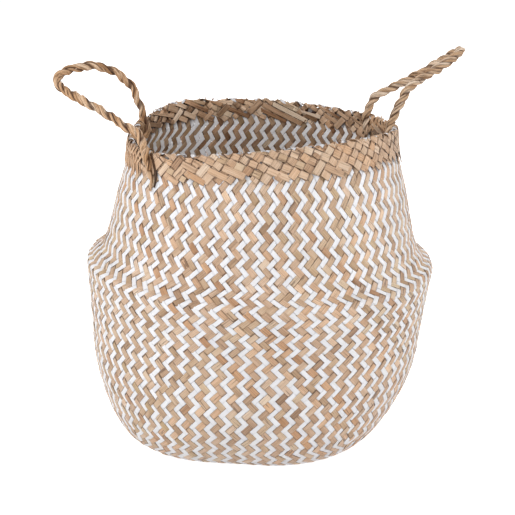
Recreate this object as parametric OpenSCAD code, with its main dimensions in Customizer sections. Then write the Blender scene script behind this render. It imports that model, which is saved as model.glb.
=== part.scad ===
// Belly basket plaited from seagrass strips, with a folded rim and two rope handles.
// Millimetres. It stands on z = 0, the belly is centred on the z axis and -y is the front.
// The plait and the lay of the rope are drawn as plain skins of their true outer shape.

/* [Body] */
// Radius of the outer face at the belly fold
belly_r = 162.5; // [152:0.5:176]
// Mean height of the belly fold above the floor
belly_z = 159; // [145:1:175]
// Drop of the belly fold towards the right
belly_drop = 4.3; // [0:0.1:6]
// Half the width of the flat base, a square with round corners
base_half = 107; // [98:1:116]
// Corner radius of the base
base_corner_r = 81; // [54:1:96]
// Turn of the base square about the upright axis, in degrees
base_turn = -7; // [-20:1:20]
// Sideways distance of the foot from the belly's axis
foot_x = -10; // [-12:1:10]
// Front to back distance of the foot from the belly's axis
foot_y = -15; // [-18:1:10]
// Thickness of the plaited wall and base
wall_t = 3; // [2.4:0.1:3.6]

/* [Rim] */
// Mean height of the wall's top edge
rim_z = 281; // [270:1:295]
// Radius of the wall's outer face at its top edge
neck_r = 121.5; // [114:0.5:128]
// Sideways distance of the rim from the belly's axis
rim_x = 2; // [-4:0.5:4]
// Rise of the rim towards the right
rim_tilt = 3.3; // [0:0.1:5]
// Height of the two soft waves round the rim
rim_wave = 5.3; // [0:0.1:7]
// Thickness of the strips folded over the rim
fold_t = 1.8; // [1.4:0.1:2.4]
// Depth of the folded border, inside and outside
border_h = 22; // [16:1:28]

/* [Handles] */
// Diameter of the twisted rope
rope_d = 9; // [8:0.5:10]
// Reach of the left loop outwards from the rim
left_reach = 77; // [66:1:86]
// Reach of the right loop outwards from the rim
right_reach = 79; // [70:1:90]
// Direction of the left handle's front leg seen from above, in degrees
left_front_at = 214; // [210:1:218]
// Direction of the left handle's back leg
left_back_at = 162; // [158:1:166]
// Direction of the right handle's front leg
right_front_at = 0; // [-4:1:4]
// Direction of the right handle's back leg
right_back_at = 31; // [27:1:35]
// Extra radius of a rope leg's end, where its strands are turned back
heel_extra = 0.4; // [0.2:0.1:0.8]
// Clearance between a swinging rope and what it swings over
swing_gap = 0.5; // [0.4:0.1:1]

/* [Rope tails] */
// Thickness of a rope tail, pressed flat over the rim
tail_t = 2.6; // [2:0.1:3.2]
// Width of a rope tail at the rim
tail_w = 10; // [8:0.5:11]
// Clearance between the wall, the border folded over it and what is sewn on the border
seat_gap = 0.3; // [0.2:0.05:0.4]
// Length of the long tails, outside the basket
long_tail = 33; // [28:1:36]
// Angle by which the left front tail leans towards the front at its lower end
left_tail_lean = 8; // [0:1:12]
// Length of the short tails
short_tail = 17; // [14:1:19]
// Thickness of the tucked strip ends between the legs
tuck_t = 1.5; // [1.2:0.1:2]
// Depth of the left tucked ends, outside the basket
left_tuck_h = 28; // [24:1:32]
// Depth of the right tucked ends, inside the basket
right_tuck_h = 14; // [10:1:18]
// Room on the rim between a tail and the tucked ends beside it
tail_room = 1.5; // [1:0.1:2.5]

/* [Hidden] */
natural = [0.79, 0.65, 0.49];
pale = [0.93, 0.92, 0.90];
rope_tan = [0.71, 0.56, 0.40];
// Facets round the basket and round a rope
round_n = 64;
rope_n = 10;
rope_r = rope_d / 2;
// Round end of a rope leg, lying along the swing axis
heel_r = rope_r + heel_extra;
// Distance of the border's outside from the wall
fold_off = seat_gap + fold_t;
// Height of the swing axis over the wall's top edge
axis_lift = fold_off + seat_gap + tail_t + swing_gap + heel_r;
// Angle, seen from above, of the lower of the two crests of the rim
crest_at = -64;
// Lower wall: share of the height, then share of the way out from base to belly
low_shape = curve([[0, 0], [0.05, 0.2], [0.14, 0.43], [0.28, 0.68], [0.46, 0.82], [0.66, 0.88],
    [0.86, 0.95], [1, 1]], 2);
// Upper wall: share of the height, then share of the way in from belly to neck
up_shape = curve([[0, 0], [0.07, 0.28], [0.16, 0.43], [0.33, 0.57], [0.56, 0.72], [0.8, 0.91],
    [1, 1]], 2);
// Share of the upper height at the border's lower edge
border_s = 1 - border_h / (rim_z - belly_z);
border_stops = [border_s, (1 + border_s) / 2, 1];
// Shares of the lower and upper heights where the foot and the shoulder end
foot_s = 0.28;
shoulder_s = 0.16;
foot_stops = [for (p = low_shape) if (p[0] < foot_s + 0.01) p[0]];
belly_stops = [for (p = low_shape) if (p[0] > foot_s - 0.01) p[0]];
shoulder_stops = [for (p = up_shape) if (p[0] < shoulder_s + 0.01) p[0]];
neck_stops = concat([for (p = up_shape) if (p[0] > shoulder_s - 0.01 && p[0] < border_s - 0.03) p[0]],
    border_stops);
// Middle line of each loop from its front heel to its back heel:
// share of half the span, then outwards and upwards as shares of the reach
left_route = [[-1, 0, 0], [-0.88, 0.1, 0.04], [-0.76, 0.19, 0.09], [-0.64, 0.3, 0.14],
    [-0.38, 0.49, 0.24], [-0.13, 0.69, 0.32], [0.14, 0.87, 0.39], [0.38, 0.99, 0.45],
    [0.58, 1, 0.52], [0.75, 0.88, 0.57], [0.89, 0.67, 0.6], [0.98, 0.47, 0.57],
    [1.02, 0.27, 0.47], [1.03, 0.1, 0.29], [1, 0, 0]];
right_route = [[-1, 0, 0], [-0.97, 0.09, 0.16], [-0.84, 0.21, 0.31], [-0.69, 0.43, 0.43],
    [-0.56, 0.67, 0.54], [-0.38, 0.88, 0.64], [0, 1, 0.69], [0.38, 0.91, 0.6],
    [0.6, 0.68, 0.44], [0.75, 0.42, 0.3], [0.88, 0.19, 0.19], [0.97, 0.05, 0.1], [1, 0, 0]];

function unit(v) = v / norm(v);

// Height of the rim's waves at an angle seen from above
function wave(at) = rim_tilt * cos(at) + rim_wave * cos(2 * (at - crest_at));

// Point of a level square of half width a with corner radius c; f counts sides from the front
function square_pt(f, a, c) =
    let (side = round(f))
    let (run = (f - side) * (2 * (a - c) + PI / 2 * c))
    let (flat = min(abs(run), a - c))
    let (bend = (abs(run) - flat) / c * 180 / PI)
    let (x = sign(run) * (flat + c * sin(bend)))
    let (y = -(a - c + c * cos(bend)))
    let (turn = 90 * side + base_turn)
    [x * cos(turn) - y * sin(turn), x * sin(turn) + y * cos(turn)];

// Lower wall: radius and height at a share s of the height, set in by d along the slope
function low_rz(s) =
    [base_half + (belly_r - base_half) * lookup(s, low_shape), belly_z * s];
function low_in(s, d) =
    let (way = unit(low_rz(min(1, s + 0.05)) - low_rz(max(0, s - 0.05))))
    s == 1 ? low_rz(1) - [d, 0] : low_rz(s) + d * [-way[1], way[0]];
function low_at(f, rz, trim) =
    let (s = min(1, max(0, rz[1] / belly_z)))
    let (round_share = base_corner_r / base_half)
    let (share = min(1, round_share + (1 - round_share) * s / foot_s))
    let (xy = square_pt(f, rz[0], (rz[0] + trim) * share - trim))
    [xy[0] + foot_x * (1 - s), xy[1] + foot_y * (1 - s), rz[1] - belly_drop * cos(side_angle(f)) * s * s];

// Upper wall: point at angle at, share s of the height, set in by d, raised by lift
function up_at(at, s, d, lift = 0) =
    let (r = belly_r - (belly_r - neck_r) * lookup(s, up_shape) - d)
    [rim_x * s + r * cos(at), r * sin(at),
        belly_z + (rim_z - belly_z) * s + wave(at) * s * s - belly_drop * cos(at) * (1 - s) + lift];
function side_angle(f) = 90 * f - 90 + base_turn;

// Faces of a tube of sections: closed in a ring, or capped at both ends
function ring_faces(n, m) = [for (i = [0:n - 1]) for (j = [0:m - 1]) for (h = [0, 1])
    let (a = i * m + j)
    let (b = i * m + (j + 1) % m)
    let (c = ((i + 1) % n) * m + (j + 1) % m)
    let (d = ((i + 1) % n) * m + j)
    h == 0 ? [a, b, c] : [a, c, d]];
function tube_faces(n, m) = concat(
    [for (i = [0:n - 2]) for (j = [0:m - 1]) for (h = [0, 1])
        let (a = i * m + j)
        let (b = i * m + (j + 1) % m)
        let (c = (i + 1) * m + (j + 1) % m)
        let (d = (i + 1) * m + j)
        h == 0 ? [a, b, c] : [a, c, d]],
    [[for (j = [m - 1:-1:0]) j]], [[for (j = [0:m - 1]) (n - 1) * m + j]]);
function flat_list(sections) = [for (s = sections) for (p = s) p];

module ring_solid(sections)
    polyhedron(flat_list(sections), ring_faces(len(sections), len(sections[0])), convexity = 6);
module tube_solid(sections)
    polyhedron(flat_list(sections), tube_faces(len(sections), len(sections[0])), convexity = 6);

// Curve through the points of a route, with a few steps from point to point
function route_pt(p, i) = i < 0 ? 2 * p[0] - p[1] :
    i >= len(p) ? 2 * p[len(p) - 1] - p[len(p) - 2] : p[i];
function curve(p, steps) = concat([for (i = [0:len(p) - 2]) for (k = [0:steps - 1])
    let (t = k / steps)
    let (a = route_pt(p, i - 1))
    let (b = p[i])
    let (c = p[i + 1])
    let (d = route_pt(p, i + 2))
    0.5 * (2 * b + (c - a) * t + (2 * a - 5 * b + 4 * c - d) * t * t
        + (3 * b - a - 3 * c + d) * t * t * t)], [p[len(p) - 1]]);

// End of a swing axis over the rim, at angle at
function heel_pt(at) = up_at(at, 1, wall_t / 2, axis_lift);

// Flat-bottomed mat of the base, inside the lowest ring of the wall
module base_mat() {
    color(natural)
    linear_extrude(height = wall_t)
    polygon([for (i = [0:round_n - 1])
        let (p = low_at(4 * i / round_n, [base_half - wall_t, 0], wall_t))
        [p[0], p[1]]]);
}

// Sections of the lower wall from its outer face up to its inner face down
function low_sections(stops, close) = [for (i = [0:round_n - 1])
    let (f = 4 * i / round_n)
    let (foot = low_at(f, [base_half - wall_t, 0], wall_t))
    concat([for (s = stops) low_at(f, low_rz(s), 0)],
        [for (k = [len(stops) - 1:-1:close]) low_at(f, low_in(stops[k], wall_t), wall_t)],
        close == 1 ? [foot + [0, 0, wall_t], foot] : [])];

// Sections of the upper wall from its outer face up to its inner face down
function up_sections(stops) = [for (i = [0:round_n - 1])
    let (at = side_angle(4 * i / round_n))
    concat([for (s = stops) up_at(at, s, 0)],
        [for (k = [len(stops) - 1:-1:0]) up_at(at, stops[k], wall_t)])];

// Rounded turn from the flat base up into the wall
module foot_wall() {
    color(pale) ring_solid(low_sections(foot_stops, 1));
}

// Round wall up to the belly fold
module belly_wall() {
    color(pale) ring_solid(low_sections(belly_stops, 0));
}

// Short slope above the belly fold
module shoulder_wall() {
    color(pale) ring_solid(up_sections(shoulder_stops));
}

// Neck, from the shoulder to the top edge
module neck_wall() {
    color(pale) ring_solid(up_sections(neck_stops));
}

// Strips folded over the top edge, lying on the wall outside and inside
module rim_border() {
    soft = seat_gap + 0.6 * fold_t;
    sections = [for (i = [0:round_n - 1])
        let (at = side_angle(4 * i / round_n))
        concat([for (s = border_stops) up_at(at, s, -fold_off)],
            [up_at(at, 1, -soft, soft), up_at(at, 1, 0, fold_off)],
            [up_at(at, 1, wall_t, fold_off), up_at(at, 1, wall_t + soft, soft)],
            [for (k = [2:-1:0]) up_at(at, border_stops[k], wall_t + fold_off)],
            [for (s = border_stops) up_at(at, s, wall_t + seat_gap)],
            [up_at(at, 1, wall_t + seat_gap, seat_gap), up_at(at, 1, -seat_gap, seat_gap)],
            [for (k = [2:-1:0]) up_at(at, border_stops[k], -seat_gap)])];
    color(natural) ring_solid(sections);
}

// Rope loop between two heels on its swing axis
module rope_loop(front_at, back_at, reach, route) {
    a = heel_pt(front_at);
    b = heel_pt(back_at);
    along = unit(b - a);
    level = unit([along[1], -along[0], 0]);
    out = level * sign(level * (a + b));
    up = unit(cross(level, along));
    tilt = 0.82 * up - 0.57 * out;
    line = curve([for (p = route)
        (a + b) / 2 + along * p[0] * norm(b - a) / 2 + out * p[1] * reach + up * p[2] * reach], 3);
    n = len(line);
    sections = [for (i = [0:n - 1])
        let (way = unit(line[min(n - 1, i + 1)] - line[max(0, i - 1)]))
        let (wide = unit(cross(way, tilt)))
        let (deep = cross(wide, way))
        [for (k = [0:rope_n - 1])
            line[i] + rope_r * (cos(360 * k / rope_n) * wide + sin(360 * k / rope_n) * deep)]];
    color(rope_tan)
    union() {
        tube_solid(sections);
        for (p = [a, b]) heel(p, along);
    }
}

// Round end of a rope leg
module heel(p, along) {
    translate(p)
    rotate([0, acos(along[2]), atan2(along[1], along[0])])
    cylinder(r = heel_r, h = rope_d, center = true, $fn = 48);
}

module left_handle_rope() rope_loop(left_front_at, left_back_at, left_reach, left_route);
module right_handle_rope() rope_loop(right_front_at, right_back_at, right_reach, right_route);

// Rope tail pressed flat over the rim: len_in runs down inside and len_out outside, where it may lean
module rope_tail(at, len_in, len_out, lean = 0) {
    rise = rim_z - belly_z;
    off = fold_off + seat_gap + tail_t / 2;
    soft = 0.7 * off;
    line = [up_at(at, 1 - len_in / rise, wall_t + off), up_at(at, 1 - 0.5 * len_in / rise, wall_t + off),
        up_at(at, 1, wall_t + off), up_at(at, 1, wall_t + soft, soft), up_at(at, 1, wall_t, off),
        up_at(at, 1, 0, off), up_at(at, 1, -soft, soft), up_at(at, 1, -off),
        up_at(at + 0.5 * lean, 1 - 0.5 * len_out / rise, -off), up_at(at + lean, 1 - len_out / rise, -off)];
    ring = [[-1, -0.4], [-0.75, -1], [0.75, -1], [1, -0.4], [1, 0.4], [0.75, 1], [-0.75, 1], [-1, 0.4]];
    full = [0.55, 0.9, 1, 1, 1, 1, 1, 1, 0.9, 0.55];
    turn = [0, 0, 0, 0, 0, 0, 0, 0, 0.5, 1] * lean;
    n = len(line);
    sections = [for (i = [0:n - 1])
        let (way = unit(line[min(n - 1, i + 1)] - line[max(0, i - 1)]))
        let (side = [-sin(at + turn[i]), cos(at + turn[i]), 0])
        let (deep = unit(cross(side, way)))
        let (wide = cross(way, deep))
        let (w = tail_w / 2 * full[i])
        [for (p = ring) line[i] + p[0] * w * wide + p[1] * tail_t / 2 * deep]];
    color(rope_tan) tube_solid(sections);
}

module left_front_tail() rope_tail(left_front_at, short_tail, long_tail, left_tail_lean);
module left_back_tail() rope_tail(left_back_at, short_tail, short_tail);
module right_front_tail() rope_tail(right_front_at, short_tail, long_tail);
module right_back_tail() rope_tail(right_back_at, short_tail, short_tail);

// Strip ends tucked under between the legs of a handle, as a thin sheet on the border
module tucked_ends(from_at, to_at, d_near, d_far, drop) {
    rise = rim_z - belly_z;
    stops = [1, 1 - 0.5 * drop / rise, 1 - drop / rise];
    steps = 10;
    sections = [for (i = [0:steps])
        let (at = from_at + (to_at - from_at) * i / steps)
        concat([for (s = stops) up_at(at, s, d_near)], [for (k = [2:-1:0]) up_at(at, stops[k], d_far)])];
    color(natural) tube_solid(sections);
}

// Half the angle a tail takes up on the rim, with room beside it
tail_half = atan2(tail_w / 2 + tail_room, neck_r);
outside_d = -(fold_off + seat_gap);
inside_d = wall_t + fold_off + seat_gap;
module left_tucked_ends()
    tucked_ends(left_back_at + tail_half, left_front_at - tail_half,
        outside_d, outside_d - tuck_t, left_tuck_h);
module right_tucked_ends()
    tucked_ends(right_front_at + tail_half, right_back_at - tail_half,
        inside_d + tuck_t, inside_d, right_tuck_h);

base_mat();
foot_wall();
belly_wall();
shoulder_wall();
neck_wall();
rim_border();
left_handle_rope();
right_handle_rope();
left_front_tail();
left_back_tail();
right_front_tail();
right_back_tail();
left_tucked_ends();
right_tucked_ends();
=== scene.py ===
import bpy
import numpy as np
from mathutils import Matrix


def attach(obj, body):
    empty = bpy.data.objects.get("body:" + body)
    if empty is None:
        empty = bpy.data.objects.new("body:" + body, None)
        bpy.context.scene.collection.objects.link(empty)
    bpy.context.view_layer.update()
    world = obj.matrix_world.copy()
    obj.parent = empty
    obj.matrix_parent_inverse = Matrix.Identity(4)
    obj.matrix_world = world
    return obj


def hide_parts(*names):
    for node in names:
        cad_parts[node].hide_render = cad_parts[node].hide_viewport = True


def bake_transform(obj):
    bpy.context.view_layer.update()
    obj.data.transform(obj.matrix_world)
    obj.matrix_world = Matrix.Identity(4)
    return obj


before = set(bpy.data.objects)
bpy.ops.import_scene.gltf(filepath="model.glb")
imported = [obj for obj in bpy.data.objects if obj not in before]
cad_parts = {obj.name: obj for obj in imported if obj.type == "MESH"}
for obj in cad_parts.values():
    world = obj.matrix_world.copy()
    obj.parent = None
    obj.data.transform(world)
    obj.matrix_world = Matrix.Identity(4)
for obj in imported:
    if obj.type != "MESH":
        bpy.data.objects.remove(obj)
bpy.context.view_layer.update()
rng = np.random.default_rng(68)

# The basket's form in millimetres, the same values as the CAD model. The values from layerIn on belong to the looks:
# depth of the plait's middle layer, how much fuller the border stands at one place, and how far the wall is from round.
form = dict(
    bellyR=162.5, bellyZ=159, bellyDrop=4.3, baseHalf=107, cornerR=81, footShare=.28, turn=-7, footX=-10, footY=-15,
    rimZ=281, neckR=121.5, rimX=2, tilt=3.3, wave=5.3, crestAt=-64, wallT=3, axisLift=10.4,
    lowShape=[(0, 0), (.05, .2), (.14, .43), (.28, .68), (.46, .82), (.66, .88), (.86, .95), (1, 1)],
    upShape=[(0, 0), (.07, .28), (.16, .43), (.33, .57), (.56, .72), (.8, .91), (1, 1)],
    layerIn=.9, full=5, fullAt=136, fullSpan=19, uneven=.5,
)


def unit(v):
    return v / np.maximum(np.linalg.norm(v, axis=-1, keepdims=True), 1e-9)


def smoothCurve(points, steps):
    # Catmull-Rom: each stretch leaves its end points along the line that joins their neighbours
    p = np.asarray(points, float)
    p = np.vstack([2 * p[0] - p[1], p, 2 * p[-1] - p[-2]])
    t = (np.arange(steps) / steps)[None, :, None]
    a, b, c, d = (p[k:len(p) - 3 + k, None] for k in range(4))
    line = .5 * (2 * b + (c - a) * t + (2 * a - 5 * b + 4 * c - d) * t ** 2 + (3 * b - a - 3 * c + d) * t ** 3)
    return np.vstack([line.reshape(-1, p.shape[1]), p[-2:-1]])


def evenSteps(points, step):
    # the same polyline at even steps of its own length
    run = np.concatenate([[0], np.cumsum(np.linalg.norm(np.diff(points, axis=0), axis=1))])
    at = np.linspace(0, run[-1], max(2, int(round(run[-1] / step)) + 1))
    return np.stack([np.interp(at, run, points[:, k]) for k in range(points.shape[1])], 1)


def softened(line, width):
    # Gaussian running mean along a polyline, mirrored through its ends
    k = np.arange(-4 * width, 4 * width + 1)
    g = np.exp(-.5 * (k / width) ** 2)
    n = 4 * width
    pad = np.concatenate([2 * line[:1] - line[n:0:-1], line, 2 * line[-1:] - line[-2:-n - 2:-1]])
    return np.stack([np.convolve(pad[:, j], g / g.sum(), "valid") for j in range(line.shape[1])], 1)


def wallProfile():
    # half width and height of the plait's middle layer, from the centre of the base out and up to the rim
    low, up = smoothCurve(form["lowShape"], 16), smoothCurve(form["upShape"], 16)
    lowR = form["baseHalf"] + (form["bellyR"] - form["baseHalf"]) * low[:, 1]
    upR = form["bellyR"] - (form["bellyR"] - form["neckR"]) * up[:, 1]
    upZ = form["bellyZ"] + (form["rimZ"] - form["bellyZ"]) * up[:, 0]
    outer = np.vstack([[[0, 0]], np.stack([lowR, form["bellyZ"] * low[:, 0]], 1), np.stack([upR, upZ], 1)[1:]])
    outer = softened(evenSteps(outer, .5), 3)                   # rounds the belly fold to about 2 mm
    way = unit(np.gradient(outer, axis=0))
    return outer + form["layerIn"] * np.stack([-way[:, 1], way[:, 0]], 1)


plait = dict(
    strips=68,                 # strips each way in the mat that the basket is plaited from
    baseRows=25.8,             # crossings from the middle of the base to its edge
    rowZ=[0, 45, 100, 141, 159, 175, 200, 230, 260, 281],        # height, and millimetres of wall for each row there
    rowMm=[4.3, 4.0, 3.55, 3.2, 3.15, 3.35, 3.6, 3.9, 4.2, 4.3],
    cellMm=4.85, whiteShare=.845, fill=.98, thick=.6, tone=.54,
    age=(0, .4),               # mean and spread of a leaf's hue: olive above 0, tan below
    # natural and white strips: lift of a float, height at which it dives, in lifts, then the spread of its tone, the
    # change of tone on its underside inside the basket, painted shade on natural strips and painted light on white
    # ones, and how strong the painted shade is at its slits and dives; white paint hides most of this
    natural=dict(lift=.82, dive=.15, spread=.09, inside=-.15, dark=1),
    white=dict(lift=.62, dive=.66, spread=.07, inside=.4, dark=.08),
    # painted shade darkens these hidden rows
    hidden=4.6,                # rows at the top that lie in the dark under the border
    askew=.019,                # the mat's turn against the base square, in sides
    # the strips are wider at the upper left: more wall for each row there, and the columns fan out by these degrees
    wider=.19, widerAt=-58, widerSpan=35,
    fanAt=[-180, -115, -85, -55, -30, -10, 60, 120, 180], fanBy=[-6, -11, -9.8, -5.6, -1.6, 0, 0, -2.6, -6],
)
half = plait["strips"] // 2
profile = wallProfile()
runMm = np.concatenate([[0], np.cumsum(np.linalg.norm(np.diff(profile, axis=0), axis=1))])
baseEdge = np.argmax(profile[:, 0] > form["baseHalf"] - 2)
rowStep = np.interp(profile[:, 1], plait["rowZ"], plait["rowMm"])
rowStep[:baseEdge] = runMm[baseEdge] / plait["baseRows"]
rowAt = np.concatenate([[0], np.cumsum(np.diff(runMm) / rowStep[1:])])
topRow = rowAt[-1]
lowShare = np.clip(profile[:, 1] / form["bellyZ"], 0, 1)
upShare = np.clip((profile[:, 1] - form["bellyZ"]) / (form["rimZ"] - form["bellyZ"]), 0, 1)
cornerShare = form["cornerR"] / form["baseHalf"]
cornerShare = np.clip(cornerShare + (1 - cornerShare) * lowShare / form["footShare"], 0, 1)
cornerShare *= np.clip(rowAt / plait["baseRows"], 0, 1) ** 2    # the middle of the base is a plain square mat
neck = profile[upShare > .5]
bellyRow = rowAt[np.argmax(upShare > 0)]


def rimWave(angle):
    return form["tilt"] * np.cos(angle) + form["wave"] * np.cos(2 * (angle - np.radians(form["crestAt"])))


def slant(angle, low, up):
    # Rise of the rim's waves and drop of the belly fold towards the right, at a share of the lower and upper heights.
    # The border stands fuller at the back left by a few millimetres.
    off = (np.degrees(angle) - form["fullAt"] + 180) % 360 - 180
    rise = rimWave(angle) + form["full"] * np.exp(-(off / form["fullSpan"]) ** 2)
    return rise * up ** 2 - form["bellyDrop"] * np.cos(angle) * low ** 2 * (1 - up)


def matPlace(p, q):
    # A mat point p, q strips from the centre lies on row |p| + |q|, and its place round the wall is the side it faces
    # plus its share of that side. Above the belly both spread at the left.
    row = np.abs(p) + np.abs(q)
    side = np.where(q >= 0, np.where(p >= 0, 0, 3), np.where(p >= 0, 1, 2))
    lead = np.where((p >= 0) == (q >= 0), 1, -1) * (np.abs(p) - np.abs(q))
    f = side + lead / (2 * np.clip(row, 1e-6, half)) + plait["askew"]
    fromFront = (90 * f + 180) % 360 - 180
    off = (fromFront - plait["widerAt"]) / plait["widerSpan"]
    row = row + np.maximum(row - bellyRow, 0) * plait["wider"] * np.exp(-off ** 2)
    fan = np.interp(fromFront, plait["fanAt"], plait["fanBy"]) / 90
    return row, f + fan * np.interp(row, rowAt, upShare)


def bodyPoint(p, q):
    # The row is a rounded square at its place on the wall's profile, and the point's place round it is in sides.
    row, f = matPlace(p, q)
    byRow = (profile[:, 0], profile[:, 1], lowShare, upShare, cornerShare)
    a, z, low, up, c = (np.interp(row, rowAt, k) for k in byRow)
    c = np.maximum(a * c, 1e-6)
    nearest = np.round(f)
    run = (f - nearest) * (2 * (a - c) + np.pi / 2 * c)
    flat = np.minimum(np.abs(run), a - c)
    bend = (np.abs(run) - flat) / c
    x, y = np.sign(run) * (flat + c * np.sin(bend)), -(a - c + c * np.cos(bend))
    turn = nearest * np.pi / 2 + np.radians(form["turn"])
    x, y = x * np.cos(turn) - y * np.sin(turn), x * np.sin(turn) + y * np.cos(turn)
    angle = np.arctan2(y, x)
    # hand-made, so never quite round
    uneven = form["uneven"] * np.sin(3 * angle + z / 31) * np.clip(z / 40, 0, 1) * (1 - up)
    r = 1 + uneven / np.maximum(np.hypot(x, y), 20)
    return np.stack([x * r + form["footX"] * (1 - low) + form["rimX"] * up,
                     y * r + form["footY"] * (1 - low), z + slant(angle, low, up)], -1)


def surfaceOf(point, u, v, e):
    # place on a surface, and its outward normal from a short step each way
    out = np.cross(point(u + e[0], v) - point(u - e[0], v), point(u, v + e[1]) - point(u, v - e[1]))
    return point(u, v), unit(out)


def linear(hexText):
    # sRGB hex to linear
    c = np.array([int(hexText[k:k + 2], 16) for k in (1, 3, 5)]) / 255
    c = np.where(c <= .04045, c / 12.92, ((c + .055) / 1.055) ** 2.4)
    return (*map(float, c), 1)


def addNode(tree, kind, settings=None, **links):
    # one node; a link is an output socket or a value, for an input's name or its number after an underscore
    node = tree.nodes.new(kind)
    for key, value in (settings or {}).items():
        setattr(node, key, value)
    for key, value in links.items():
        socket = node.inputs[int(key[1:])] if key[0] == "_" else node.inputs[key.replace("_", " ")]
        if isinstance(value, bpy.types.NodeSocket):
            tree.links.new(value, socket)
        else:
            socket.default_value = value
    return node


def mathOf(tree, operation, *values):
    links = {f"_{k}": value for k, value in enumerate(values)}
    return addNode(tree, "ShaderNodeMath", {"operation": operation}, **links).outputs[0]


def leafMaterial(name, look):
    # dried leaf in strips: long fibres along the strip, patchy colour, and painted shade from the tuck attribute, as
    # where a strip dives under another
    mat = bpy.data.materials.new(name)
    mat.use_nodes = True
    tree = mat.node_tree
    tree.nodes.clear()
    uv = addNode(tree, "ShaderNodeUVMap", {"uv_map": "strip"}).outputs[0]
    tone, age, tuck = (addNode(tree, "ShaderNodeAttribute", {"attribute_name": k}).outputs["Fac"]
                       for k in ("tone", "age", "tuck"))

    def grain(longMm, wideMm, **detail):
        # noise drawn out along the strip; the map is in metres
        place = addNode(tree, "ShaderNodeMapping", None, Vector=uv, Scale=(1000 / longMm, 1000 / wideMm, 1))
        flat = {"noise_dimensions": "2D"}
        return addNode(tree, "ShaderNodeTexNoise", flat, Vector=place.outputs[0], Scale=1.0, **detail).outputs[0]

    def tinted(share, color, tint):
        kind = {"data_type": "RGBA", "blend_type": "MULTIPLY"}
        return addNode(tree, "ShaderNodeMix", kind, _0=share, _6=color, _7=linear(tint)).outputs[2]

    # a fibre is drawn at twice its real width so that it shows, and 30 times as long as wide; patches are 18 by 5 mm
    fibre = grain(30 * look["fibreMm"], look["fibreMm"], Detail=3.0, Roughness=.6)
    patch = grain(18, 5, Detail=2.0)
    streaked = mathOf(tree, "MULTIPLY_ADD", fibre, look["streak"], tone)
    patched = mathOf(tree, "MULTIPLY_ADD", patch, look["patch"], streaked)
    level = mathOf(tree, "SUBTRACT", patched, (look["streak"] + look["patch"]) / 2)
    ramp = addNode(tree, "ShaderNodeValToRGB", None, Fac=level)
    while len(ramp.color_ramp.elements) < len(look["stops"]):
        ramp.color_ramp.elements.new(.5)
    for element, (at, color) in zip(ramp.color_ramp.elements, look["stops"]):
        element.position, element.color = at, linear(color)
    aged = tinted(age, ramp.outputs[0], look["aged"])
    tanned = tinted(mathOf(tree, "MULTIPLY", age, -1.0), aged, look["tan"])
    # a leaf splits along its fibres: thin dark lines where a coarser pattern, 2.4 mm across, passes its middle value
    split = mathOf(tree, "COMPARE", grain(90, 2.4, Detail=0.0), .5, .018)
    # split lines are the leaf's own marks; they and the painted shade darken the leaf towards its tucked colour
    dark = mathOf(tree, "MAXIMUM", mathOf(tree, "MULTIPLY", split, look["split"]), tuck)
    shaded = tinted(dark, tanned, look["tucked"])
    relief = addNode(tree, "ShaderNodeBump", None, Strength=look["bump"], Distance=.0003, Height=fibre)
    shader = addNode(tree, "ShaderNodeBsdfPrincipled", None, Base_Color=shaded, Roughness=look["rough"], IOR=1.45,
                     Normal=relief.outputs[0])
    shader.inputs["Specular IOR Level"].default_value = look["sheen"]
    addNode(tree, "ShaderNodeOutputMaterial", None, Surface=shader.outputs[0])
    return mat


# split and flattened seagrass in its own colour: pinkish beige with olive and brown lengths, a faint sheen
naturalLeaf = leafMaterial("naturalSeagrassStrip", dict(
    stops=[(0, "#80624A"), (.28, "#AD8D72"), (.58, "#CAAC92"), (1, "#E6D0BA")],
    streak=.6, patch=.35, split=.55, fibreMm=.9,
    aged="#E6E4CC", tan="#FFEAD2", tucked="#4A3322", rough=.48, sheen=.5, bump=.35))
# the same strip dipped in matt white paint: the fibres are only a faint relief
whiteLeaf = leafMaterial("whitePaintedSeagrassStrip", dict(
    stops=[(0, "#DBDADF"), (.5, "#EBEBEF"), (1, "#F4F4F7")],
    streak=.35, patch=.25, split=.08, fibreMm=.9,
    aged="#F8F7F4", tan="#FBFAF8", tucked="#8C8682", rough=.5, sheen=.25, bump=.25))
# wider strips folded over the rim: paler, drier, with open slits darkened by painted shade
borderLeaf = leafMaterial("foldedSeagrassStrip", dict(
    stops=[(0, "#7A5C44"), (.25, "#B19175"), (.55, "#CBAE93"), (1, "#E8D4BF")],
    streak=.55, patch=.35, split=.6, fibreMm=1.0,
    aged="#EAE4CC", tan="#FFE8CE", tucked="#4E3624", rough=.52, sheen=.45, bump=.5))
# rope laid from whole leaves: painted shade in the grooves between the leaves, and pale ridges
ropeLeaf = leafMaterial("laidSeagrassRope", dict(
    stops=[(0, "#74553A"), (.25, "#AE8B6A"), (.55, "#CFAE8D"), (1, "#EBD8C4")],
    streak=.8, patch=.45, split=.85, fibreMm=1.0,
    aged="#EAE4CC", tan="#FFE4C4", tucked="#4A3120", rough=.6, sheen=.25, bump=1.0))
print("materials made")


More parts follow.
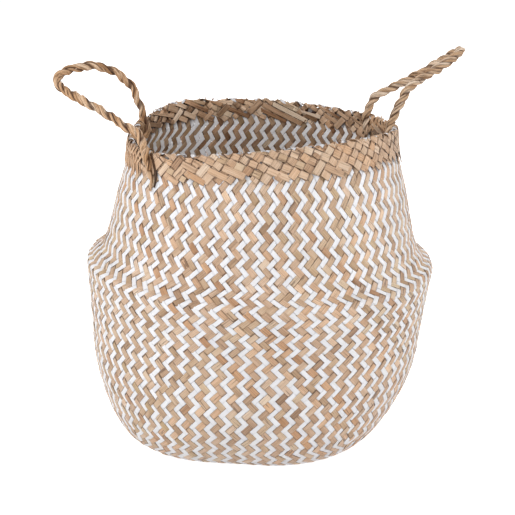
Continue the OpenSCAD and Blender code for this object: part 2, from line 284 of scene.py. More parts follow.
def buildMesh(name, ribbons, material, smooth=False):
    # ribbons: list of dicts with points n x m x 3 in mm, uv n x m x 2 in mm, tone, age and the painted shade tuck n x
    # m.
    # Each is a closed skin of n sections with m points round, capped at both ends.
    quads, caps, base = [], [], 0
    for ribbon in ribbons:
        n, m = ribbon["points"].shape[:2]
        i, j = np.meshgrid(np.arange(n - 1), np.arange(m), indexing="ij")
        k = (j + 1) % m
        quads.append(base + np.stack([i * m + j, i * m + k, (i + 1) * m + k, (i + 1) * m + j], -1).reshape(-1, 4))
        caps += [base + np.arange(m)[::-1], base + (n - 1) * m + np.arange(m)]
        base += n * m
    quads = np.concatenate(quads)
    loops = np.concatenate([quads.ravel()] + caps)
    sizes = np.concatenate([np.full(len(quads), 4), [len(c) for c in caps]])
    points = np.concatenate([r["points"].reshape(-1, 3) for r in ribbons]) * .001
    mesh = bpy.data.meshes.new(name)
    mesh.vertices.add(len(points))
    mesh.vertices.foreach_set("co", points.astype(np.float32).ravel())
    mesh.loops.add(len(loops))
    mesh.loops.foreach_set("vertex_index", loops.astype(np.int32))
    mesh.polygons.add(len(sizes))
    mesh.polygons.foreach_set("loop_start", np.concatenate([[0], np.cumsum(sizes)[:-1]]).astype(np.int32))
    mesh.polygons.foreach_set("use_smooth", np.full(len(sizes), smooth))
    uv = np.concatenate([r["uv"].reshape(-1, 2) for r in ribbons])[loops] * .001
    mesh.uv_layers.new(name="strip").data.foreach_set("uv", uv.astype(np.float32).ravel())
    for key in ("tone", "age", "tuck"):
        values = np.concatenate([np.broadcast_to(r[key], r["points"].shape[:2]).ravel() for r in ribbons])
        mesh.attributes.new(key, "FLOAT", "POINT").data.foreach_set("value", values.astype(np.float32))
    mesh.update(calc_edges=True)
    mesh.validate()
    mesh.materials.append(material)
    obj = bpy.data.objects.new(name, mesh)
    bpy.context.scene.collection.objects.link(obj)
    print(name, len(ribbons), "strips", len(quads) * 2, "triangles")
    return obj


# section of a flat strip: across in half widths and up in thicknesses, the upper face first, then the underside
acrossAt = np.array([-1, -.85, .85, 1, .94, -.94])
upAt = np.array([.05, .5, .5, .05, -.5, -.5])
# painted shade along a strip's edges, fainter on the underside
edgeShade = np.array([.4, 0, 0, .4, .15, .15])
# the underside points, which take the tone change inside the basket
under = np.array([0, 0, 0, 0, 1, 1])
# painted shade: where a float dives it is dark all across, and just before that at its two corners; places along by
# section points
endShade = np.outer([1, 0, 0, 0, 0, 1], np.ones(6)) + np.outer([0, .9, .15, .15, .9, 0], [1, 0, 0, 1, 0, 0])


def drift(n, step, amount):
    # slow random change along a strip, straight between knots
    knots = rng.normal(0, amount, n // step + 3)
    return np.interp(np.arange(n) / step, np.arange(len(knots)), knots)


def floatPlaces(edges, over, low):
    # Six places along each float of a strip, three inside each end. over is 1 or -1 for each crossing, low the height
    # at which a float dives. Returns the places, the height in lifts and the number of the float.
    cut = np.flatnonzero(np.diff(over)) + 1
    first, last = np.concatenate([[0], cut]), np.concatenate([cut, [len(over)]])
    a, b = edges[first], edges[last]
    inA, inB = edges[first + 1] - a, b - edges[last - 1]
    share = np.array([.03, .11, .36])                           # of the float's last crossing, from its end inwards
    place = np.hstack([a[:, None] + share * inA[:, None], b[:, None] - share[::-1] * inB[:, None]])
    height = over[first][:, None] * np.interp([0, .4, 1, 1, .4, 0], [0, 1], [low, 1])
    return place.ravel(), height.ravel(), np.repeat(np.arange(len(first)), 6)


# floats: tilt in millimetres, share of ends and of edges with a slit of painted shadow, and how dark the painted shade
# is at slits and at plain ends and edges
floatTiltAndSlitShade = dict(tilt=.07, endSlits=.45, endSlit=(.6, 1), endPlain=.2, edgeSlits=.4, edgeSlit=2.2, edgePlain=.5)


def stripSkin(place, out, height, number, size, uv, toneMean, toneSpread, inside, age, dark, flip):
    # A strip's skin from its places and normals across. Each float is tilted a little, has its own tone, and some
    # of its ends and edges get a dark slit of painted shadow; the rest get fainter painted shade.
    n, floats = len(height), number.max() + 1
    tilt = rng.normal(0, floatTiltAndSlitShade["tilt"], floats)[number]
    up = height[:, None] + tilt[:, None] * acrossAt + size["thick"] * upAt
    tone = toneMean + rng.normal(0, toneSpread, floats)[number] + drift(n, 21, toneSpread * .6)
    slit = rng.random((floats, 2)) < floatTiltAndSlitShade["endSlits"]
    gap = np.where(slit, rng.uniform(*floatTiltAndSlitShade["endSlit"], (floats, 2)), floatTiltAndSlitShade["endPlain"])
    beside = np.where(rng.random((floats, 2)) < floatTiltAndSlitShade["edgeSlits"], floatTiltAndSlitShade["edgeSlit"], floatTiltAndSlitShade["edgePlain"])
    atEnds = (gap[:, [0, 0, 0, 1, 1, 1], None] * endShade).reshape(n, 6)
    # painted shade at float ends and edges, scaled by how dark the leaf's slits are
    tuck = np.clip(dark * (atEnds + edgeShade * beside[number][:, [0, 0, 1, 1, 1, 0]]), 0, 1)
    points, below = place + out * up[..., None], under
    if flip:
        points, uv, tuck, below = points[:, ::-1], uv[:, ::-1], tuck[:, ::-1], under[::-1]
    # underside points take the inside tone change: painted shade where it is below 0, painted light where it is above
    return dict(points=points, uv=uv, tone=np.clip(tone[:, None] + inside * below, .04, .97), age=age, tuck=tuck)


edgeShift = np.clip(rng.normal(0, .03, plait["strips"]), -.06, .06)      # in strips: no two are cut equally wide


def cellEdge(k):
    # edge between strips k - 1 and k of the mat: white strips, the even ones, are narrower than natural ones
    extra = (1 - plait["whiteShare"]) / 2
    moved = k + np.where(k % 2 == 0, extra, -extra) + edgeShift[k % plait["strips"]]
    return np.where(np.abs(k) % half == 0, k, moved)


def bodyStrip(m, crosswise):
    # One strip of the mat, from the rim down across the base and up to the rim. On the wall a strip leans right or
    # left as it climbs, and the right-leaning ones lie on top in two rows of every four.
    lo, hi = cellEdge(np.array([m, m + 1]))
    reach = int(topRow - abs(m + .5) - .3)
    ends = [np.arange(1, reach + 1) * s for s in (-1, 1)]
    rows = [matPlace(*((m + .5, k) if crosswise else (k, m + .5)))[0] for k in ends]
    first, last = (int(np.sum(k < topRow - .2)) for k in rows)      # cells to the rim on one side and on the other
    cells = np.arange(-first, last)
    row = (np.abs(cells + .5) + abs(m + .5)).round().astype(int)
    leansRight = ((cells >= 0) == (m >= 0)) != crosswise
    leaf = plait["white" if m % 2 == 0 else "natural"]
    over = np.where(((row - 1) % 4 < 2) == leansRight, 1, -1)
    along, height, number = floatPlaces(cellEdge(np.arange(-first, last + 1)), over, leaf["dive"])
    n = len(along)
    wide = (hi - lo) / 2 * plait["fill"] * (1 + drift(n, 30, .03))
    across = (lo + hi) / 2 + drift(n, 36, .012)[:, None] + wide[:, None] * acrossAt
    across = np.maximum(across, .004) if m >= 0 else np.minimum(across, -.004)      # the mat's middle lines stay edges
    alongAt = np.broadcast_to(along[:, None], across.shape)
    p, q = (across, alongAt) if crosswise else (alongAt, across)
    place, out = surfaceOf(bodyPoint, p, q, (.02, .02))
    uv = np.stack([alongAt * plait["cellMm"] + m * 37.7, across * plait["cellMm"] + 700 * crosswise], -1)
    age = np.clip(rng.normal(*plait["age"]), -.9, .9)
    height = height * leaf["lift"] * rng.uniform(.8, 1.3, number.max() + 1)[number] + drift(n, 15, .04)
    baseEdges = [plait["baseRows"] - 2, plait["baseRows"] + 2]
    height *= np.interp(np.abs(along) + abs(m + .5), baseEdges, [.5, 1])         # the base is pressed flat
    tone = plait["tone"] + rng.normal(0, leaf["spread"])
    skin = stripSkin(place, out, height, number, plait, uv, tone, leaf["spread"], leaf["inside"], age,
                     leaf["dark"], not crosswise)
    # painted shade on the rows that lie under the border
    coverShade = np.clip(matPlace(p, q)[0][:, :1] - topRow + plait["hidden"], 0, 1)
    skin["tuck"] = np.maximum(skin["tuck"], coverShade)
    return skin


for crosswise in (False, True):
    for white in (True, False):
        for label, chosen in (("Near", range(-half, 0)), ("Far", range(0, half))):
            name = ("white" if white else "natural") + ("Cross" if crosswise else "Long") + label
            ribbons = [bodyStrip(m, crosswise) for m in chosen if (m % 2 == 0) == white]
            material, slotName = (whiteLeaf, "white_seagrass") if white else (naturalLeaf, "natural_seagrass")
            obj = buildMesh(name, ribbons, material)
            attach(obj, "basket")
            if name == "naturalLongNear":
                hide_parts("base_mat", "foot_wall", "belly_wall", "shoulder_wall", "neck_wall")
print("body plaited, rows to the rim", topRow)

# strips folded over the top edge and plaited with each other; leans and depths are for the outer and the inner face
border = dict(
    longStrips=52, crossStrips=76, longLean=(25, 22), crossLean=(52, 45), roll=1.8, centre=-.7, refR=119.5,
    deep=(22.5, 18), ragged=2.2, lift=.7, dive=.3, thick=.55, fill=.91, plainFrom=-112, plainTo=55,
    slips=.03, dips=.34,                    # shares of the crossings where the plait slips outside and dips inside
    # inside: painted shade on the strips' undersides; dark: strength of the painted shade at slits and dives
    tone=.51, spread=.08, inside=-.15, dark=1.15, age=(-.18, .3), innerTone=(-.02, .3),
    # behind: where painted shade falls on the border behind the tucked ends
    behind=((166, 211), (4, 27)),           # degrees round the rim behind tucked ends, outside and inside
)


def rimPoint(angle, w):
    # w runs up the outer face, over the rolled edge at 0 and down the inner face; angle runs round the rim
    roll = border["roll"]
    bend = np.clip(w / roll, -np.pi / 2, np.pi / 2)
    z = form["rimZ"] + border["centre"] - np.maximum(np.abs(w) - roll * np.pi / 2, 0)
    r = np.interp(z, neck[:, 1], neck[:, 0]) - roll * np.sin(bend)
    up = (z - form["bellyZ"]) / (form["rimZ"] - form["bellyZ"])
    z = z + roll * np.cos(bend) + slant(angle, 1, up)
    return np.stack([form["rimX"] * up + r * np.cos(angle), r * np.sin(angle), z], -1)


rimStep = (.002, .05)                       # short step round and down, for the rim's normals
longPitch, crossPitch = (2 * np.pi / border[k] for k in ("longStrips", "crossStrips"))
slips, dips = (rng.random((border["longStrips"], border["crossStrips"])) < border[k] for k in ("slips", "dips"))


def leanAt(w, isLong):
    return np.radians(np.where(w < 0, *border["longLean" if isLong else "crossLean"]))


def meetingAt(d):
    # w where a long and a cross strip meet whose angles at the rolled edge differ by d
    outer, inner = (1 / np.tan(leanAt(s, True)) + 1 / np.tan(leanAt(s, False)) for s in (-1, 1))
    return d * border["refR"] / np.where(d < 0, outer, inner)


def longOnTop(i, j):
    # Outside a plain plait, over one and under one, at the front and right, and over two and under two elsewhere,
    # with a few slips. Inside, long strips lie on top and dip under now and then.
    angle = (np.degrees(i * longPitch + j * crossPitch) / 2 + 180) % 360 - 180
    plain = (angle > border["plainFrom"]) & (angle < border["plainTo"])
    pair = i % border["longStrips"], j % border["crossStrips"]
    outside = np.where(plain, (i + j) % 2 == 0, (i + j) % 4 < 2) != slips[pair]
    return np.where(i * longPitch > j * crossPitch, ~dips[pair], outside)


def borderStrip(i, isLong):
    # One strip of the border. Long strips lean left as they climb the outer face and cross strips lean right.
    pitch, other, way = (longPitch, crossPitch, -1) if isLong else (crossPitch, longPitch, 1)
    lo, hi = rng.normal([-border["deep"][0], border["deep"][1]], border["ragged"])
    crossed = int(i * pitch / other) + way * np.arange(-30, 31)              # numbers of the strips that it meets
    d = way * (crossed * other - i * pitch)
    inside = (meetingAt(d) > lo + .5) & (meetingAt(d) < hi - .5)
    d, crossed = d[inside], crossed[inside]
    edges = np.concatenate([[lo], meetingAt((d[:-1] + d[1:]) / 2), [hi]])
    top = longOnTop(np.full(len(d), i), crossed) if isLong else ~longOnTop(crossed, np.full(len(d), i))
    top[[0, -1]] |= rng.random(2) < .6
    w, height, number = floatPlaces(edges, np.where(top, 1, -1), border["dive"])
    n, lean = len(w), leanAt(w, isLong)
    wide = pitch * border["refR"] * np.sin(lean) / 2 * border["fill"]
    wide = wide * rng.uniform(.92, 1.04) * (1 + drift(n, 13, .05))
    inner = np.clip(w / 4, 0, 1)                                # the inner face is darker, looser and more mixed
    off = (wide * (1 + inner * (drift(n, 9, .14) - .06)))[:, None] * acrossAt
    angle = i * pitch + way * w / np.tan(lean) / border["refR"] + rng.normal(0, .004) + drift(n, 18, .003)
    sideAngle = -way * np.sin(lean) / border["refR"]
    at, down = angle[:, None] + off * sideAngle[:, None], w[:, None] + off * np.cos(lean)[:, None]
    place, out = surfaceOf(rimPoint, at, down, rimStep)
    height = height * border["lift"] * (1 + .5 * inner) + drift(n, 12, .06) + inner * np.abs(drift(n, 9, .25))
    height += np.exp(-(w / 3) ** 2) * rng.uniform(-.3, 1)       # no two folds are equally tight
    height[[0, -1]] += rng.uniform(0, .7, 2)                    # dry ends curl up a little
    run = np.broadcast_to((w / np.sin(lean))[:, None] + i * 61.3, off.shape)
    uv = np.stack([run, off + i * 13.7 + 400 * isLong], -1)
    tone, age = border["tone"] + rng.normal(0, border["spread"]), np.clip(rng.normal(*border["age"]), -.9, .9)
    skin = stripSkin(place, out, height, number, border, uv, tone, border["spread"], border["inside"], age,
                     border["dark"], not isLong)
    innerTone = rng.normal(*border["innerTone"], number.max() + 1)[number]
    skin["tone"] = np.clip(skin["tone"] + (inner * innerTone)[:, None], .04, .97)
    # painted shade on the border behind the tucked ends
    left, right = ((np.degrees(angle) % 360 > a) & (np.degrees(angle) % 360 < b) for a, b in border["behind"])
    coverShade = (w < -2) & left | (w > 2) & right
    skin["tuck"] = np.maximum(skin["tuck"], .75 * coverShade[:, None])
    return skin


for isLong, name in ((True, "borderLong"), (False, "borderCross")):
    ribbons = [borderStrip(i, isLong) for i in range(border["longStrips" if isLong else "crossStrips"])]
    obj = buildMesh(name, ribbons, borderLeaf)
    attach(obj, "basket")
    if isLong:
        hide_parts("rim_border")


def leafSkin(centre, side, out, halfWidth, thick, toneMean, seed, age):
    # a free leaf: a flat section carried along a line, with its width tapering as given
    n = len(centre)
    across = halfWidth[:, None] * acrossAt
    points = centre[:, None] + side[:, None] * across[..., None] + out[:, None] * (thick * upAt)[None, :, None]
    run = np.concatenate([[0], np.cumsum(np.linalg.norm(np.diff(centre, axis=0), axis=1))])
    uv = np.stack([np.broadcast_to(run[:, None] + seed * 53.1, across.shape), across + seed * 17.9], -1)
    # painted shade, strongest at the leaf's start, and at its edges
    tuck = np.clip(np.linspace(.3, 0, n)[:, None] + edgeShade, 0, 1)
    tone = np.clip(toneMean + drift(n, 6, .06), .05, .95)[:, None]
    return dict(points=points, uv=uv, tone=tone, age=age, tuck=tuck)


def leafOnRim(route, wide, thick, tone, seed, taper=.55, power=3, age=-.2):
    # a leaf lying on the rim; route: degrees round the rim, w, height over the border's middle layer
    line = smoothCurve(route, 5)
    place, out = surfaceOf(rimPoint, np.radians(line[:, 0]), line[:, 1], rimStep)
    place = place + out * line[:, 2:3]
    way = unit(np.gradient(place, axis=0))
    side = unit(np.cross(way, out))
    halfWidth = wide * (1 - taper * np.linspace(0, 1, len(line)) ** power)
    return leafSkin(place, side, np.cross(side, way), halfWidth, thick, tone, seed, age)


# ends of painted strips that show along the rolled edge
ridge = dict(count=40, half=1.7, thick=.4)
ribbons = []
for k in range(ridge["count"]):
    at = 360 / ridge["count"] * (k + rng.uniform(-.4, .4))
    lean, start, end = rng.choice([-1, 1]) * rng.uniform(2, 4.5), rng.uniform(-3, 0), rng.uniform(1.5, 4)
    route = [(at + lean * t, start + (end - start) * t, .3 + .25 * np.sin(np.pi * t)) for t in (0, .35, .7, 1)]
    ribbons.append(leafOnRim(route, ridge["half"] * rng.uniform(.6, 1.2), ridge["thick"], tone=.5, seed=k))
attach(buildMesh("paintedEndsOnRim", ribbons, whiteLeaf), "basket")

# The two rope handles. Loop routes are as in the CAD model: half spans, then outwards and upwards in reaches.
# frontHeel: how far the front heel is moved outwards and upwards. bend: two distances from its swing axis, on both
# sides of it; points at them are worked out but not used. Roots: degrees round the rim, w, height.
handles = dict(
    left=dict(front=214, back=162, reach=77, phase=.4, age=-.5, frontHeel=(5, -3), bend=(-4.5, 9.5), route=[
        (-1, 0, 0), (-.88, .1, .04), (-.76, .19, .09), (-.64, .3, .14), (-.38, .49, .24), (-.13, .69, .32),
        (.14, .87, .39), (.38, .99, .45), (.58, 1, .52), (.75, .88, .57), (.89, .67, .6), (.98, .47, .57),
        (1.02, .27, .47), (1.03, .1, .29), (1, 0, 0)],
        frontRoot=[(216.5, -4, 4.2), (218.5, -11, 3.2), (220, -19, 2.4)],
        backRoot=[(162, 6, 4), (161.5, 12, 3), (161, 17, 2.2)]),
    right=dict(front=0, back=31, reach=79, phase=1.7, age=-.1, frontHeel=(0, 0), bend=(-9, 9), route=[
        (-1, 0, 0), (-.97, .09, .16), (-.84, .21, .31), (-.69, .43, .43), (-.56, .67, .54), (-.38, .88, .64),
        (0, 1, .69), (.38, .91, .6), (.6, .68, .44), (.75, .42, .3), (.88, .19, .19), (.97, .05, .1), (1, 0, 0)],
        frontRoot=[(0, 6, 4), (-.5, 12, 3), (-1, 18, 2.2)],
        backRoot=[(31, 6, 4), (31.3, 12, 3), (31.6, 18, 2.2)]),
)
rope = dict(strandR=3.15, apart=1.2, lay=21, leaves=5, leafTurn=60, ring=30, step=1.0, rootMm=20, tone=.69,
            stubs=16, stubMm=(1.5, 4))


def rimSpot(degrees, w, height):
    place, out = surfaceOf(rimPoint, np.radians(np.array([degrees], float)), np.array([w], float), rimStep)
    return (place + out * height)[0]


def heelPoint(degrees):
    # where a loop's middle line meets its swing axis, over the wall's top edge
    a = np.radians(degrees)
    r = form["neckR"] - form["wallT"] / 2
    return np.array([form["rimX"] + r * np.cos(a), r * np.sin(a), form["rimZ"] + rimWave(a) + form["axisLift"]])


def ropeLine(spec):
    # Middle line of a handle: up one root, round the loop and down the other root. Also the middle of its swing axis,
    # the loop's own outward and upward directions, and for each point how far it has gone into a root, from 0 to 1.
    a, b = heelPoint(spec["front"]), heelPoint(spec["back"])
    along = unit(b - a)
    level = unit(np.array([along[1], -along[0], 0]))
    out = level * np.sign(level @ (a + b))
    up = unit(np.cross(level, along))
    u, v, w = np.array(spec["route"]).T[..., None]
    loop = (a + b) / 2 + along * u * np.linalg.norm(b - a) / 2 + (out * v + up * w) * spec["reach"]
    loop[0] += out * spec["frontHeel"][0] + up * spec["frontHeel"][1]      # the left one hangs outside the rim
    roots = [np.array([rimSpot(*s) for s in spec[k]]) for k in ("frontRoot", "backRoot")]
    line = softened(evenSteps(smoothCurve(np.vstack([roots[0][::-1], loop, roots[1]]), 20), rope["step"]), 3)
    toEnd = np.minimum(np.arange(len(line)), np.arange(len(line))[::-1]) * rope["step"]
    return line, (a + b) / 2, out, up, 1 - np.clip(toEnd / rope["rootMm"], 0, 1)


def ropeStrand(line, tilt, root, phase, age, seed):
    # A strand winds round the rope's middle line, left-handed, and is itself a bundle of leaves that wind the other
    # way. Round the strand its radius is the largest of a few round lobes, and painted shade darkens the creases
    # between them.
    n, m = len(line), rope["ring"]
    way = unit(np.gradient(line, axis=0))
    wide = unit(np.cross(way, tilt))
    deep = np.cross(wide, way)
    run = np.arange(n) * rope["step"]
    turn = phase - 2 * np.pi * run / rope["lay"] + np.cumsum(rng.normal(0, .035, n))
    press = 1 - .5 * root                                        # a root is pressed flat on the rim
    apart = rope["apart"] * (1 + drift(n, 20, .05))
    offWide, offDeep = np.cos(turn) * apart * (1 + .25 * root), np.sin(turn) * apart * press
    centre = line + wide * offWide[:, None] + deep * offDeep[:, None]
    psi = -2 * np.pi * np.arange(m)[None, :] / m
    inner = psi + turn[:, None] + 2 * np.pi * run[:, None] / rope["leafTurn"]      # angle seen by the strand's leaves
    lobes = np.arange(rope["leaves"])
    lobeAt = 2 * np.pi * (lobes + rng.uniform(-.25, .25, len(lobes))) / len(lobes)
    lobeR = rng.uniform(.92, 1.04, len(lobes))[None] * (1 + np.stack([drift(n, 7, .11) for k in lobes], 1))
    gap = np.abs((inner[..., None] - lobeAt + np.pi) % (2 * np.pi) - np.pi) / (np.pi / len(lobes))
    bulge = lobeR[:, None, :] * (1.04 - .14 * np.clip(gap, 0, 1.6) ** 2.4)
    pick = bulge.argmax(-1)
    r = rope["strandR"] * bulge.max(-1)
    crease = np.clip(np.take_along_axis(gap, pick[..., None], -1)[..., 0] - .68, 0, 1) * 2.3
    angle = psi + turn[:, None]
    x, y = r * np.cos(angle), r * np.sin(angle) * press[:, None]
    points = centre[:, None] + wide[:, None] * x[..., None] + deep[:, None] * y[..., None]
    # painted shade in the groove beside the other strand
    toMiddle = np.clip((.2 - np.cos(psi)) / .6, 0, 1) ** 1.5     # the groove beside the other strand
    tone = rope["tone"] + rng.normal(0, .16, len(lobes))[pick]
    tone = tone + np.stack([drift(n, 9, .1) for k in lobes], 1)[np.arange(n)[:, None], pick]
    along = np.broadcast_to(run[:, None] * 1.1 + seed * 91, x.shape)
    uv = np.stack([along, inner * rope["strandR"] + pick * 7.7], -1)
    # painted shade in the creases and in the groove
    tuck = np.clip(crease + .8 * toMiddle, 0, 1)
    return dict(points=points, uv=uv, tone=np.clip(tone, .05, .95), age=age, tuck=tuck)


def ropeStub(line, at, seed):
    # the end of a leaf that has worked loose: it leaves the rope at a slant
    way = unit(line[at + 2] - line[at - 2])
    off = rng.normal(0, 1, 3)
    off = unit(off - way * (off @ way))
    way = way * rng.choice([-1, 1])
    tall = rng.uniform(*rope["stubMm"])
    t = np.linspace(0, 1, 5)[:, None]
    centre = line[at] + off * (2.2 + tall * t ** 1.5) + way * tall * 1.3 * t
    ahead = unit(np.gradient(centre, axis=0))
    side = np.broadcast_to(unit(np.cross(off, way)), centre.shape)
    halfWidth, tone = .8 * (1 - .6 * t[:, 0]), rng.uniform(.5, .9)
    return leafSkin(centre, side, np.cross(side, ahead), halfWidth, thick=.4, toneMean=tone, seed=seed, age=-.2)


for k, (side, spec) in enumerate(handles.items()):
    line, middle, out, up, root = ropeLine(spec)
    tilt = .82 * up - .57 * out                                 # about square to the loop's plane
    strands = [ropeStrand(line, tilt, root, spec["phase"] + np.pi * s, spec["age"], 2 * k + s) for s in (0, 1)]
    strands += [ropeStub(line, at, j) for j, at in enumerate(rng.integers(24, len(line) - 24, rope["stubs"]))]
    obj = buildMesh(side + "Rope", strands, ropeLeaf, smooth=True)
    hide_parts(side + "_handle_rope")
    lead = unit(.8 * out + .6 * up)                             # the way a loop stands out from its swing axis
    start, end = (tuple((middle + mm * lead) * .001) for mm in spec["bend"])
    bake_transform(obj)
    print(side, "rope", len(line) * rope["step"], "mm")

# Rope ends opened into leaves and laid over the rim. Each leaf: tone, half width, then degrees off the leg, w, height.
# A leaf of tone 0 is painted shadow: a leaf darkened all over, laid in the gap behind the others.
tails = dict(
    leftFrontTail=dict(node="left_front_tail", at=214, leaves=[
        (.45, 2.0, [(-1, 15, 1.6), (-1, 6, 2), (-.5, 0, 2.2), (2, -8, 2.2), (5.2, -18, 2), (7, -27, 1.6),
                    (7.8, -38, .9)]),
        (.3, 1.7, [(1, 13, 1.5), (1, 5, 1.8), (1.5, 0, 2.2), (3.6, -9, 2.1), (6, -19, 1.7), (7.8, -30, 1.1)]),
        (.6, 1.9, [(-2.4, 16, 1.4), (-2, 5, 1.7), (-1.5, 0, 2), (.4, -9, 1.9), (3.6, -18, 1.6), (5.6, -26, 1)]),
        (0, 1.5, [(4, -2, .9), (6, -8, 1), (8, -16, 1), (9.2, -25, .9), (9.4, -34, .7)])]),
    leftBackTail=dict(node="left_back_tail", at=162, leaves=[
        (.45, 2.0, [(-1, -15, 1.2), (-1, -6, 1.8), (-.5, 0, 2.2), (0, 8, 1.9), (.5, 17, 1.2)]),
        (.55, 1.8, [(1.4, -13, 1.1), (1.3, -5, 1.7), (1.4, 0, 2), (1, 8, 1.7), (1.6, 16, 1.1)]),
        (.4, 1.8, [(3, 6, 1.2), (4, 0, 1.3), (6, -6, 1.7), (9, -14, 1.7), (11, -22, 1.3)])]),
    rightFrontTail=dict(node="right_front_tail", at=0, leaves=[
        (.2, 2.0, [(0, 15, 1.4), (0, 6, 1.7), (0, 0, 1.7), (-.6, -9, 1.3), (-1.3, -20, 1), (-1.8, -33, .8)]),
        (.5, 1.9, [(1.6, 13, 1.2), (1.6, 5, 1.5), (1.5, 0, 1.5), (1, -10, 1.1), (.4, -19, .9), (.2, -27, .8)]),
        (.6, 2.0, [(-1.8, 14, 1.2), (-1.8, 5, 1.5), (-1.6, 0, 1.5), (-2, -10, 1.1), (-2.6, -22, .8)])]),
    rightBackTail=dict(node="right_back_tail", at=31, leaves=[
        (.15, 2.0, [(-1.2, -15, 1.2), (-1, -6, 1.8), (-.8, 0, 2.2), (-.4, 8, 1.9), (0, 17, 1.2)]),
        (.45, 1.8, [(1.2, -12, 1.1), (1.2, -5, 1.7), (1, 0, 2), (1.2, 8, 1.7), (1.8, 15, 1.1)])]),
)
for name, spec in tails.items():
    ribbons = []
    for k, (tone, halfWide, route) in enumerate(spec["leaves"]):
        line = [(spec["at"] + a, w, h) for a, w, h in route]
        ribbons.append(leafOnRim(line, halfWide, thick=.9, tone=tone, seed=k))
        # the leaf of tone 0 is painted shadow in the gap beside the leg
        if tone == 0:
            ribbons[-1]["tuck"] = np.full(ribbons[-1]["points"].shape[:2], .85)
    obj = buildMesh(name, ribbons, ropeLeaf)
    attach(obj, "basket")
    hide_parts(spec["node"])

# Strip ends tucked under between the legs, in two tiers: a comb of pointed ends outside on the left, cut ends inside
# on the right. Each tier: count, w at its start and end, half width, lean in degrees, whether leans alternate, taper.
tucked = dict(
    leftTuckedEnds=dict(node="left_tucked_ends", start=166, stop=211, tiers=[
        (27, -11, -26, 1.55, 3.2, False, .9), (30, -2.5, -15, 1.6, 4, True, .7)]),
    rightTuckedEnds=dict(node="right_tucked_ends", start=4, stop=27, tiers=[
        (14, 7, 15, 1.5, 2.5, True, .6), (15, 1, 9, 1.5, 3.5, True, .5)]))
for name, spec in tucked.items():
    ribbons = []
    for tier, (count, first, last, halfWide, lean, swap, taper) in enumerate(spec["tiers"]):
        for k, at in enumerate(np.linspace(spec["start"], spec["stop"], count)):
            near, far = first + rng.normal(0, .8), last + rng.normal(0, 1.8)
            turn = lean * rng.uniform(.6, 1.3) * (-1 if swap and k % 2 else 1)
            lay = .85 + .55 * tier + .2 * (k % 2)
            route = [(at + turn * (t - .5), near + (far - near) * t, lay + .45 * np.sin(np.pi * t))
                     for t in (0, .25, .5, .75, 1)]
            wide, tone = halfWide * rng.uniform(.75, 1.2), rng.uniform(.55, .95)
            ribbons.append(leafOnRim(route, wide, thick=.45, tone=tone, seed=k, taper=taper, power=2.5, age=-.9))
    obj = buildMesh(name, ribbons, borderLeaf)
    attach(obj, "basket")
    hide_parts(spec["node"])

# dry stubs that stick up along the rolled edge, most of them between the right handle's legs
stubs = dict(count=34, half=.7, thick=.4, long=(1.2, 3.2))
ribbons = []
for k in range(stubs["count"]):
    at = rng.uniform(2, 36) if k % 3 == 0 else rng.uniform(0, 360)
    lean, base, tall = rng.normal(0, 1.3), rng.uniform(-2, 2), rng.uniform(*stubs["long"])
    route = [(at, base, 0), (at + .4 * lean, base, .4 * tall + .3), (at + lean, base + rng.normal(0, 1), tall + .6)]
    wide, tone = stubs["half"] * rng.uniform(.6, 1.4), rng.uniform(.3, .7)
    ribbons.append(leafOnRim(route, wide, stubs["thick"], tone, seed=k, taper=.6, power=1))
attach(buildMesh("dryStubsOnRim", ribbons, borderLeaf), "basket")
print("handles and their ends laid")

# camera at the photograph's viewing angle: focal length in pixels, distance and aim in millimetres
view = dict(pixels=1264.7, frame=515, sensor=36, far=1200, lift=17.48, aimX=-3.0, aimZ=155.7)
lift = np.radians(view["lift"])
camera = bpy.data.objects.new("camera", bpy.data.cameras.new("camera"))
camera.data.sensor_width = view["sensor"]
camera.data.lens = view["pixels"] / view["frame"] * view["sensor"]
camera.data.clip_end = 50
cameraZ = view["aimZ"] + view["far"] * np.sin(lift)
camera.location = (view["aimX"] * .001, -view["far"] * np.cos(lift) * .001, cameraZ * .001)
camera.rotation_euler = (np.pi / 2 - lift, 0, 0)
bpy.context.scene.collection.objects.link(camera)
bpy.context.scene.camera = camera


def seenDirectly(tree):
    # 1 for what the camera sees, straight or in a reflection
    path = addNode(tree, "ShaderNodeLightPath")
    return mathOf(tree, "MAXIMUM", path.outputs["Is Camera Ray"], path.outputs["Is Glossy Ray"])


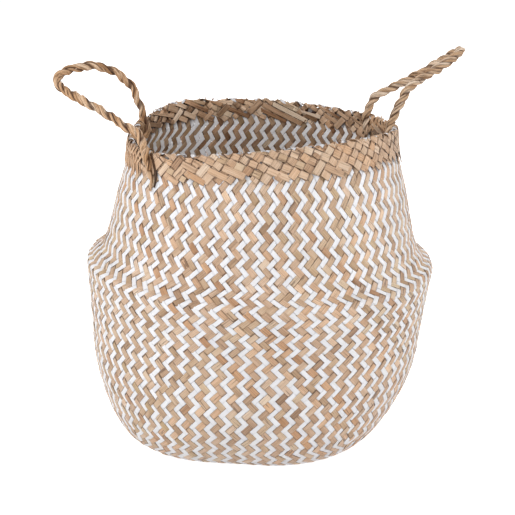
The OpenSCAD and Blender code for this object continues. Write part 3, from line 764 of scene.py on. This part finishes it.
# even white surroundings: a low light for the basket, and white where they are seen
world = bpy.data.worlds.new("studio")
bpy.context.scene.world = world
world.use_nodes = True
tree = world.node_tree
tree.nodes.clear()
level = addNode(tree, "ShaderNodeMix", {"data_type": "FLOAT"}, _0=seenDirectly(tree), _2=.13, _3=1.0)
back = addNode(tree, "ShaderNodeBackground", None, Color=(1, 1, 1, 1), Strength=level.outputs[0])
addNode(tree, "ShaderNodeOutputWorld", None, Surface=back.outputs[0])


def softBox(name, place, aim, size, watts):
    light = bpy.data.objects.new(name, bpy.data.lights.new(name, "AREA"))
    light.data.shape, light.data.size, light.data.energy = "DISK", size, watts
    light.location = place
    way = np.array(aim) - np.array(place)
    light.rotation_euler = (np.arctan2(np.hypot(way[0], way[1]), -way[2]), 0, np.arctan2(-way[0], way[1]))
    bpy.context.scene.collection.objects.link(light)


# soft boxes on all four sides and above: place, aim and size in metres, then watts
softBox("frontBox", (-.2, -2.0, 1.5), (0, 0, .15), 1.2, 34)
softBox("leftBox", (-2.3, -.1, 1.1), (0, 0, .15), 1.3, 25)
softBox("rightBox", (2.3, -.1, .75), (0, 0, .15), 1.3, 21.5)
softBox("backBox", (.2, 2.3, 1.3), (0, 0, .2), 1.3, 24)
softBox("topBox", (0, -.2, 1.9), (0, 0, .2), 1.2, 3)

# white paper floor: it takes the shadow, and where the camera sees it unshaded it is white
floorMesh = bpy.data.meshes.new("floor")
floorMesh.from_pydata([(-6, -6, 0), (6, -6, 0), (6, 6, 0), (-6, 6, 0)], [], [(0, 1, 2, 3)])
floor = bpy.data.objects.new("floor", floorMesh)
bpy.context.scene.collection.objects.link(floor)
paper = bpy.data.materials.new("whitePaper")
paper.use_nodes = True
tree = paper.node_tree
tree.nodes.clear()
glow = mathOf(tree, "MULTIPLY", seenDirectly(tree), .87)
sheet = addNode(tree, "ShaderNodeBsdfDiffuse", None, Color=linear("#F2F2F2"))
shine = addNode(tree, "ShaderNodeEmission", None, Color=(1, 1, 1, 1), Strength=glow)
both = addNode(tree, "ShaderNodeAddShader", None, _0=sheet.outputs[0], _1=shine.outputs[0])
addNode(tree, "ShaderNodeOutputMaterial", None, Surface=both.outputs[0])
floorMesh.materials.append(paper)

bpy.context.scene.view_settings.view_transform = "Standard"
